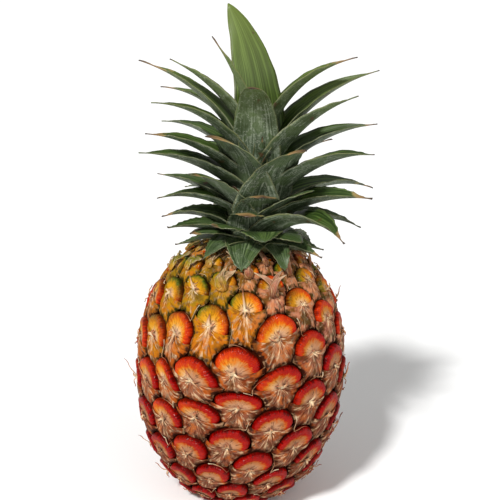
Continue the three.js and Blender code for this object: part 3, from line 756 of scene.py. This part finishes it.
def thorn_of(number, chance):
    """The thorn of one eye: short, long or curled."""
    heading, sway = chance.uniform(-THORN_LEAN, THORN_LEAN), chance.uniform(-THORN_SWAY, THORN_SWAY)
    share = chance.random()
    kind = next(kind for kind in THORN_KINDS if share < kind["up_to"])
    length, lift = chance.uniform(*kind["lengths"]), chance.uniform(*kind["lifts"])
    return pointed_strip(number, heading, sway, length, kind["width"], lift)


def shred_of(number, chance):
    """A short shred of dry skin that stands off the knot in any direction."""
    return pointed_strip(number, chance.uniform(0, math.tau), chance.uniform(-SHRED_SWAY, SHRED_SWAY),
                         chance.uniform(*SHRED_LENGTHS), chance.uniform(*SHRED_WIDTHS),
                         chance.uniform(*SHRED_LIFTS))


def string_of(number, chance):
    """The rule for one loose string that follows the lower edge of an eye."""
    start = chance.uniform(*STRING_STARTS)
    end = start + chance.uniform(*STRING_SECTORS)
    inner = chance.uniform(*STRING_INNER)
    outer = chance.uniform(*STRING_OUTER)
    flip = chance.random() < 0.5

    def moved(aside, share, side):
        sector = end + (start - end) * share if flip else start + (end - start) * share
        wave = STRING_WAVE * noise.noise(Vector((number, share * STRING_WAVES, start)))
        ring = inner + (outer - inner) * share + wave
        ring += aside * STRING_WIDTH / 2 * (1 - share) ** STRING_TAPER
        height = STRING_HEIGHT + STRING_UNEVEN * noise.noise(Vector((start, share * CRUMPLES_ALONG, number)))
        height += THORN_THICKNESS * (side - 1)
        knot = Vector((0, KNOT_LIFT * (1 - ring)))
        return grown_point(eye_place(number) + ring * outline_at(sector) + knot, height)
    return moved


def dry_thorn():
    """Dead bract tip: straw-coloured, matt and brittle, cream at its root and brown at its point."""
    material = new_material("brittle straw bract tip")
    streaks, _, along = streaks_along(material, "sheet", across=5.0, along=3.0)
    colour = add(material, "ValToRGB", {0: along}, stops=(
        (0.0, "#f4e6c2"), (0.45, "#d4aa7c"), (0.8, "#8a5e3e"), (1.0, "#4c2c18")))
    ripe = ripeness(material)
    pink = add(material, "ValToRGB", {0: ripe}, stops=((0.3, 0.0), (0.55, 0.8)))
    pink = add(material, "Math", {0: pink, 1: along}, operation="MULTIPLY")
    colour = add(material, "Mix", {0: pink, 6: colour, 7: "#a85c40"}, out=2, data_type="RGBA")
    colour = painted(material, colour, [(streaks, ((0.35, 0.7), (0.5, 0.0)), "#6d4428")])
    bump = add(material, "Bump", {"Strength": 0.5, "Distance": 0.0003, "Height": streaks})
    shader = add(material, "BsdfPrincipled", {
        "Base Color": colour, "Roughness": 0.7, "Normal": bump, "Specular IOR Level": 0.15})
    add(material, "OutputMaterial", {"Surface": shader})
    return material


thorn_chance = random.Random(THORN_SEED)
thorns = [thorn_of(number, thorn_chance) for number in EYES]
thorns += [shred_of(number, thorn_chance) for number in EYES for _ in range(SHREDS_EACH)]
thorns += [string_of(number, thorn_chance) for number in EYES[::EYES_A_STRING]]
thorn_shape = repeated(*sheet_template(THORN_COLUMNS, THORN_ROWS), thorns, random.Random(THORN_TONE_SEED))
keep_above_floor(thorn_shape)
bmesh.ops.recalc_face_normals(thorn_shape, faces=thorn_shape.faces[:])
bract_tips = show("bract_tips", thorn_shape, dry_thorn())
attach(bract_tips, "root")

# ---------------------------------------------------------------- shoulder bracts
# Round the crown the bracts are broad and lap over each other: still green and yellow on the left, with
# cream dry edges, and pinkish paper on the right, where their tips curl away.

SHOULDER_COLUMNS = 6
SHOULDER_ROWS = 12
SHOULDER_EYE = 40
SHOULDER_EACH = 3
SHOULDER_LENGTHS = (0.012, 0.026)
SHOULDER_WIDTHS = (0.008, 0.018)
SHOULDER_NARROWING = 0.5
SHOULDER_LIFTS = (0.001, 0.003)
SHOULDER_CURL = 0.011
SHOULDER_START = 0.007
SHOULDER_BASE = 0.0032
SHOULDER_SEED = 11
SHOULDER_TONE_SEED = 7


def shoulder_bract_of(number, chance):
    """The rule for one broad bract: the drier it is, the narrower it is and the more its tip stands off."""
    dry = 0.5 + 0.5 * math.sin(eye_place(number).x)
    heading, sway = chance.uniform(-THORN_LEAN, THORN_LEAN), chance.uniform(-THORN_SWAY, THORN_SWAY)
    lift = chance.uniform(*SHOULDER_LIFTS) + chance.uniform(0, SHOULDER_CURL) * dry
    length = chance.uniform(*SHOULDER_LENGTHS)
    width = chance.uniform(*SHOULDER_WIDTHS) * (1 - SHOULDER_NARROWING * dry)
    return pointed_strip(number, heading, sway, length, width, lift, SHOULDER_START, SHOULDER_BASE)


def papery_bract():
    """Half-dried bract: leathery green and yellow turning to thin pink-brown paper, streaked and matt."""
    material = new_material("papery shoulder bract")
    streaks, across, along = streaks_along(material, "sheet", across=14.0, along=2.5)
    place = add(material, "TexCoord", out=3)
    patches = add(material, "TexNoise", {"Vector": place, "Scale": 1 / BRACT_PATCH, "Detail": 4.0})
    leafy = add(material, "ValToRGB", {0: along}, stops=(
        (0.0, "#b87c10"), (0.35, "#98800e"), (0.6, "#5c6410"), (0.8, "#6a6a1c"), (1.0, "#c8a878")))
    paper = add(material, "ValToRGB", {0: along}, stops=(
        (0.0, "#5c2c14"), (0.35, "#9c5c44"), (0.7, "#c08e74"), (1.0, "#dcc09c")))
    patch = add(material, "MapRange", {"Value": patches, "To Min": -0.6, "To Max": 0.6})
    dry = add(material, "Math", {0: dryness(material), 1: patch}, operation="ADD", use_clamp=True)
    colour = add(material, "Mix", {0: dry, 6: leafy, 7: paper}, out=2, data_type="RGBA")
    colour = painted(material, colour, (
        (streaks, ((0.54, 0.0), (0.66, 0.6)), "#dcc094"),
        (streaks, ((0.36, 0.75), (0.46, 0.0)), "#4c2a12")))
    aside = add(material, "Math", {0: across, 1: 2.0, 2: -1.0}, operation="MULTIPLY_ADD")
    aside = add(material, "Math", {0: aside}, operation="ABSOLUTE")
    aside = add(material, "Math", {0: patches, 1: 0.5, 2: aside}, operation="MULTIPLY_ADD")
    edge = add(material, "MapRange", {"Value": aside, "From Min": 1.08, "From Max": 1.2, "To Max": 0.8})
    edge = add(material, "Math", {0: edge, 1: along}, operation="MULTIPLY")
    colour = add(material, "Mix", {0: edge, 6: colour, 7: "#e4cca0"}, out=2, data_type="RGBA")
    bump = add(material, "Bump", {"Strength": 0.8, "Distance": 0.0006, "Height": streaks})
    shader = add(material, "BsdfPrincipled", {
        "Base Color": colour, "Roughness": 0.6, "Normal": bump, "Specular IOR Level": 0.15})
    add(material, "OutputMaterial", {"Surface": shader})
    return material


shoulder_chance = random.Random(SHOULDER_SEED)
broad_bracts = [shoulder_bract_of(number, shoulder_chance)
                for number in EYES if number > SHOULDER_EYE for _ in range(SHOULDER_EACH)]
shoulder_shape = repeated(*sheet_template(SHOULDER_COLUMNS, SHOULDER_ROWS), broad_bracts,
                          random.Random(SHOULDER_TONE_SEED))
bmesh.ops.recalc_face_normals(shoulder_shape, faces=shoulder_shape.faces[:])
shoulder_bracts = show("shoulder_bracts", shoulder_shape, papery_bract())
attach(shoulder_bracts, "root")

# ---------------------------------------------------------------- crown
# A tuft of stiff leaves on a short stem that grew on through the fruit. Each leaf is a channelled blade,
# dark and glossy inside, with a grey waxy bloom on its outer face. Some tips have dried brown, and the
# leaves that curl back end broad and flatter.

STEM_GAP = 0.0003
STEM_BASE = Vector((0.004, 0, BODY_TOP + STEM_GAP))
STEM_TOP = Vector((0.007, 0, 0.202))
STEM_HEIGHT = STEM_TOP.z - STEM_BASE.z
STEM_RADII = (0.016, 0.008)
LEAF_ROWS = 36
LEAF_COLUMNS = 12
LEAF_THICKNESS = (0.002, 0.0004)
LEAF_ROOT_WIDTH = 0.75
LEAF_WIDENING = 1.6
LEAF_TIP_WIDTH = 0.0007
LEAF_TAPER = 2
BLADE_SHARE = 0.94
TOOTH_ROWS = 3
TOOTH_LENGTH = 0.0005
TOOTHED_BELOW = 12
LEAF_BLUNTNESS = 1.1
RECURVED_BLUNTNESS = 0.7
MARGIN_WAVE = 0.05
MARGIN_WAVES = 9
LEAF_RIPPLE = 0.0006
LEAF_RIPPLES = 14
RIPPLE_SHIFT = 7
LEAF_FOLDS = (math.radians(24), math.radians(34))
RECURVED_TIP_FOLD = math.radians(-14)
LEAF_CHANNEL = 1.5
LEAF_ROOT_RADIUS = 0.005
LEAF_FRONT_ROOT = 0.008
LEAF_ROOT_NARROWING = 0.07
LEAF_CLEARANCE = 0.0065

# Azimuth, with 0 at the front and 90 at the right, height of the root on the stem in mm, elevation at
# the root and at the tip, length and width in mm, sway and twist in degrees, and how late it bends.
# The first 22 rows, those of the sides, started from a program's fit, and about a third of the numbers it
# gave still stand. The others were changed.
PLACED_LEAVES = (
    (-100, 31, 78, 13, 104, 28, 5, 5, 1), (-80, 38, 84, 20, 88, 32, -20, -12, 1),
    (-85, 23, 88, 0, 94, 30, 25, 8, 1), (-120, 37, 75, -4, 88, 24, 5, 5, 1),
    (-105, 34, 62, -10, 75, 26, -20, 0, 1), (-80, 27, 58, 5, 78, 32, 22, 12, 1),
    (-78, 25, 47, 3, 76, 32, 20, 10, 1), (-105, 18, 32, -3, 65, 28, -20, 0, 1),
    (-85, 14, 43, -20, 57, 28, -15, 0, 1), (-95, 5, 40, -25, 54, 28, -15, 5, 1),
    (-75, 5, 24, 0, 50, 24, 25, 5, 1), (-85, 0, 15, -15, 40, 22, 0, 0, 1),
    (85, 43, 94, 14, 90, 31, -5, -5, 1), (88, 35, 80, 14, 97, 34, 15, -14, 1),
    (60, 35, 74, 22, 79, 31, 10, 5, 1), (88, 30, 64, 6, 79, 34, 5, -12, 1),
    (75, 20, 58, 6, 86, 33, -40, -8, 1), (105, 17, 43, -22, 77, 28, 17, 0, 1),
    (80, 10, 45, 0, 70, 36, -20, -12, 1), (100, 5, 40, -30, 63, 28, 3, 0, 1),
    (52, 3, 52, -25, 72, 36, -25, 0, 1), (85, 1, 12, -13, 36, 24, 2, 0, 1),
    (-140, 34, 92, 52, 106, 36, 30, 50, 1.6), (-45, 42, 88, 50, 84, 18, -25, 0, 1),
    (-16, 32, 86, -20, 76, 31, 10, 0, 4), (-25, 14, 82, -10, 72, 40, -30, 0, 2.5),
    (20, 14, 76, 0, 66, 38, 28, 0, 2.5), (-58, 11, 62, -5, 60, 30, 20, 0, 2),
    (10, 8, 80, -20, 38, 34, -9, 0, 3), (-10, 3, 78, -40, 33, 30, 5, 0, 3),
    (-35, 8, 78, 50, 34, 24, 0, 0, 2), (45, 10, 60, 10, 46, 30, 10, 0, 2),
    (32, 0, 40, -75, 33, 22, -10, 0, 1), (-45, 0, 30, -40, 32, 26, 0, 0, 1),
    (-12, 0, 28, -62, 31, 29, 12, 0, 1), (-30, 2, 60, -10, 34, 28, -20, 0, 1.5),
    (60, 0, 20, -15, 38, 24, 0, 0, 1), (8, 3, 62, -40, 32, 30, 0, 0, 1.5),
    (-62, 1, 45, -30, 36, 26, -15, 0, 1.5), (40, 2, 52, -35, 32, 28, 20, 0, 1.5),
)
SPIRAL_LEAVES = 48
SPIRAL_TURN = 137.5
SPIRAL_HEIGHT = 34
SPIRAL_CROWDING = 1.4
BACK_FROM = 126
BACK_RISE = (22, 82)
BACK_FALL = (-50, 20)
BACK_LENGTH = (52, 74)
BACK_WIDTH = 26
BACK_SWAY = 10
YOUNG_LEAVES = 5
YOUNG_LEAF = (38, 86, 70, 30, 16, 0, 0, 1)
LEAF_PATCH = 0.009
LEAF_SCALE = 0.0009

# Which tips have dried follows from this seed, which was picked out of many.
LEAF_SEED = 79413


def all_leaves():
    """The placed leaves, then those of the back on the stem's own spiral, then the young ones at its tip."""
    leaves = list(PLACED_LEAVES)
    for number in range(SPIRAL_LEAVES):
        turn = number * SPIRAL_TURN
        azimuth = math.fmod(turn + 180, 360) - 180
        share = number / SPIRAL_LEAVES
        if abs(azimuth) > BACK_FROM:
            grown = [low + (high - low) * share for low, high in (BACK_RISE, BACK_FALL, BACK_LENGTH)]
            leaves.append((azimuth, SPIRAL_HEIGHT * share ** SPIRAL_CROWDING, *grown, BACK_WIDTH,
                           BACK_SWAY * math.sin(turn), 0, 1))
    leaves += [(number * 360 / YOUNG_LEAVES, *YOUNG_LEAF) for number in range(YOUNG_LEAVES)]
    return leaves


def leaf_line(leaf):
    """Where each row of a leaf lies, with the directions across it and out of its upper face."""
    azimuth, up, rise, fall, length, _, sway, twist, late = leaf
    aim = math.radians(azimuth)
    root = LEAF_ROOT_RADIUS - LEAF_ROOT_NARROWING * up / 1000 + LEAF_FRONT_ROOT * max(0, math.cos(aim)) ** 2
    point = STEM_BASE.lerp(STEM_TOP, up / 1000 / STEM_HEIGHT)
    point += root * Vector((math.sin(aim), -math.cos(aim), 0))
    rows = []
    for number in range(LEAF_ROWS + 1):
        share = number / LEAF_ROWS
        turn = math.radians(azimuth + sway * share)
        tilt = math.radians(rise + (fall - rise) * share ** late)
        along = Vector((math.sin(turn) * math.cos(tilt), -math.cos(turn) * math.cos(tilt), math.sin(tilt)))
        across = Quaternion(along, -math.radians(twist) * share) @ Vector((math.cos(turn), math.sin(turn), 0))
        rows.append((point.copy(), across, along.cross(across)))
        point += along * length / 1000 / LEAF_ROWS
    return rows


def clear_height(x, y):
    """The lowest height that a leaf may have over the shoulder of the body."""
    share = math.hypot(x, y) / (BODY_RADIUS * (1 + BODY_TOP_FULLNESS) + LEAF_CLEARANCE)
    if share >= 1:
        return 0
    height = BODY_HALF_HEIGHT + LEAF_CLEARANCE
    return BODY_MIDDLE + height * (1 - share ** BODY_ROUNDNESS) ** (1 / BODY_ROUNDNESS)


def leaf_point(leaf, rows, aside, share, side):
    """A point of a leaf: aside from -1 to 1, share from root to tip, side 1 on the upper face."""
    azimuth, up, _, _, _, width, _, _, late = leaf
    point, across, out = rows[round(share * LEAF_ROWS)]
    recurved = late > 1
    bluntness = RECURVED_BLUNTNESS if recurved else LEAF_BLUNTNESS
    grown = share if recurved else min(1, share / BLADE_SHARE)
    widened = min(1, LEAF_ROOT_WIDTH + LEAF_WIDENING * share)
    full = width / 1000 * widened * (1 - grown ** LEAF_TAPER) ** bluntness
    wave = noise.noise(Vector((azimuth, aside, share * MARGIN_WAVES)))
    half = max(full, LEAF_TIP_WIDTH) / 2 * (1 + MARGIN_WAVE * wave)
    if up < TOOTHED_BELOW and abs(aside) == 1 and round(share * LEAF_ROWS) % TOOTH_ROWS == 0:
        half += TOOTH_LENGTH
    tip_fold = RECURVED_TIP_FOLD if recurved else LEAF_FOLDS[1]
    fold = LEAF_FOLDS[0] + (tip_fold - LEAF_FOLDS[0]) * share
    middle = LEAF_THICKNESS[0] + (LEAF_THICKNESS[1] - LEAF_THICKNESS[0]) * share
    thick = middle + (LEAF_THICKNESS[1] - middle) * abs(aside)
    place = point + across * aside * half * math.cos(fold)
    place += out * half * math.sin(fold) * abs(aside) ** LEAF_CHANNEL
    ripple = noise.noise(Vector((azimuth + RIPPLE_SHIFT, aside, share * LEAF_RIPPLES)))
    place += out * LEAF_RIPPLE * abs(aside) * ripple
    place.z += max(0, clear_height(place.x, place.y) - place.z)
    return place + out * (side - 0.5) * thick


def leaf_of(leaf):
    rows = leaf_line(leaf)
    return lambda aside, share, side: leaf_point(leaf, rows, aside, share, side)


def bloomed_leaf():
    """Stiff leaf: glossy green inside the channel, and outside a matt grey bloom with pale scales, which is
    rubbed off to plain green in places. The margins are pale, and some tips are dry and brown."""
    material = new_material("bloomed crown leaf")
    streaks, across, along = streaks_along(material, "sheet", across=36.0, along=2.0)
    upper = add(material, "Attribute", out=2, attribute_name="upper")
    tone = add(material, "Attribute", out=2, attribute_name="tone")
    place = add(material, "TexCoord", out=3)
    patches = add(material, "TexNoise", {"Vector": place, "Scale": 1 / LEAF_PATCH, "Detail": 4.0})
    shade = weighed_sum(material, 0.0, ((streaks, 0.5), (patches, 0.5)))
    inner = add(material, "ValToRGB", {0: streaks}, stops=(
        (0.36, "#17260a"), (0.5, "#2e4416"), (0.64, "#5c7236")))
    outer = add(material, "ValToRGB", {0: shade}, stops=(
        (0.4, "#2a381c"), (0.5, "#4a5840"), (0.59, "#8a947e")))
    scales = add(material, "TexNoise", {"Vector": place, "Scale": 1 / LEAF_SCALE, "Detail": 2.0})
    scales = add(material, "Math", {0: patches, 1: 0.5, 2: scales}, operation="MULTIPLY_ADD")
    rubbed = add(material, "Math", {0: along, 1: 0.15, 2: patches}, operation="MULTIPLY_ADD")
    outer = painted(material, outer, (
        (scales, ((0.78, 0.0), (0.94, 0.45)), "#b4b8a4"),
        (rubbed, ((0.6, 0.0), (0.65, 0.75)), "#314812")))
    height = add(material, "SeparateXYZ", {0: place}).node.outputs[2]
    bare = add(material, "MapRange", {"Value": height, "From Min": 0.15, "From Max": 0.175, "To Min": 0.35})
    bare = add(material, "Math", {0: upper, 1: bare}, operation="MULTIPLY")
    colour = add(material, "Mix", {0: bare, 6: outer, 7: inner}, out=2, data_type="RGBA")
    aside = add(material, "Math", {0: across, 1: 0.5}, operation="SUBTRACT")
    aside = add(material, "Math", {0: aside}, operation="ABSOLUTE")
    aside = add(material, "Math", {0: patches, 1: 0.05, 2: aside}, operation="MULTIPLY_ADD")

    # Yellower young leaves at the top, then the pale margins and a few brown spots.
    colour = painted(material, colour, (
        (height, ((0.215, 0.0), (0.29, 0.6)), "#6e7e28"),
        (aside, ((0.5, 0.0), (0.53, 0.4)), "#857f4c"),
        (patches, ((0.29, 0.85), (0.32, 0.0)), "#4a3216")))
    worn = weighed_sum(material, along, ((patches, 0.4), (tone, 0.22)))
    dry = add(material, "MapRange", {"Value": worn, "From Min": 1.23, "From Max": 1.27})
    straw = add(material, "ValToRGB", {0: along}, stops=(
        (0.8, "#9c8c58"), (0.92, "#886a42"), (1.0, "#2e1c10")))
    colour = add(material, "Mix", {0: dry, 6: colour, 7: straw}, out=2, data_type="RGBA")
    gloss = add(material, "MapRange", {"Value": upper, "To Min": 0.6, "To Max": 0.4})
    bump = add(material, "Bump", {"Strength": 0.5, "Distance": 0.0003, "Height": streaks})
    shader = add(material, "BsdfPrincipled", {"Base Color": colour, "Roughness": gloss, "Normal": bump})
    add(material, "OutputMaterial", {"Surface": shader})
    return material


crown_shape = repeated(*sheet_template(LEAF_COLUMNS, LEAF_ROWS), [leaf_of(leaf) for leaf in all_leaves()],
                       random.Random(LEAF_SEED))
bmesh.ops.recalc_face_normals(crown_shape, faces=crown_shape.faces[:])
crown = show("crown_leaves", crown_shape, bloomed_leaf())
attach(crown, "root")
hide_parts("crown")

# ---------------------------------------------------------------- crown stem
# The short stem inside the crown: pale green flesh that the leaves' sheaths wrap all round. Hardly any of
# it shows, and it stands on the fruit's top, which it grew out of.

STEM_STREAKS_A_METRE = (700.0, 700.0, 40.0)

crown_stem_shape = bmesh.new()
bmesh.ops.create_cone(crown_stem_shape, cap_ends=True, segments=SECTORS, radius1=STEM_RADII[0],
                      radius2=STEM_RADII[1], depth=STEM_HEIGHT)
for vert in crown_stem_shape.verts:
    vert.co += STEM_BASE.lerp(STEM_TOP, vert.co.z / STEM_HEIGHT + 0.5) - Vector((0, 0, vert.co.z))


def stem_flesh():
    """Fresh stem: plain matt flesh, pale green and finely streaked along."""
    material = new_material("pale stem flesh")
    place = add(material, "TexCoord", out=3)
    narrow = add(material, "Mapping", {"Vector": place, "Scale": STEM_STREAKS_A_METRE})
    colour = add(material, "ValToRGB", {0: add(material, "TexNoise", {"Vector": narrow, "Scale": 1.0})},
                 stops=((0.3, "#6d7640"), (0.7, "#b2ab74")))
    shader = add(material, "BsdfPrincipled", {"Base Color": colour, "Roughness": 0.7})
    add(material, "OutputMaterial", {"Surface": shader})
    return material


crown_stem = show("crown_stem", crown_stem_shape, stem_flesh())
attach(crown_stem, "root")

# ---------------------------------------------------------------- stalk
# The cut end of the stem that carried the fruit: pale fibrous wood with darker bundles. It keeps the shape
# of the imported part, which stands in the socket of the rind, and only gets its material here.

BUNDLES_A_METRE = 700.0


def cut_fibres():
    """Sawn green wood: matt, with the ends of its fibres as darker dots."""
    material = new_material("cut fibrous stalk")
    place = add(material, "TexCoord", out=3)
    dots = add(material, "TexVoronoi", {"Vector": place, "Scale": BUNDLES_A_METRE})
    colour = add(material, "ValToRGB", {0: dots}, stops=((0.1, "#7d5f38"), (0.5, "#c7ad7c")))
    shader = add(material, "BsdfPrincipled", {"Base Color": colour, "Roughness": 0.85})
    add(material, "OutputMaterial", {"Surface": shader})
    return material


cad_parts["stalk"].data.materials.clear()
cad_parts["stalk"].data.materials.append(cut_fibres())
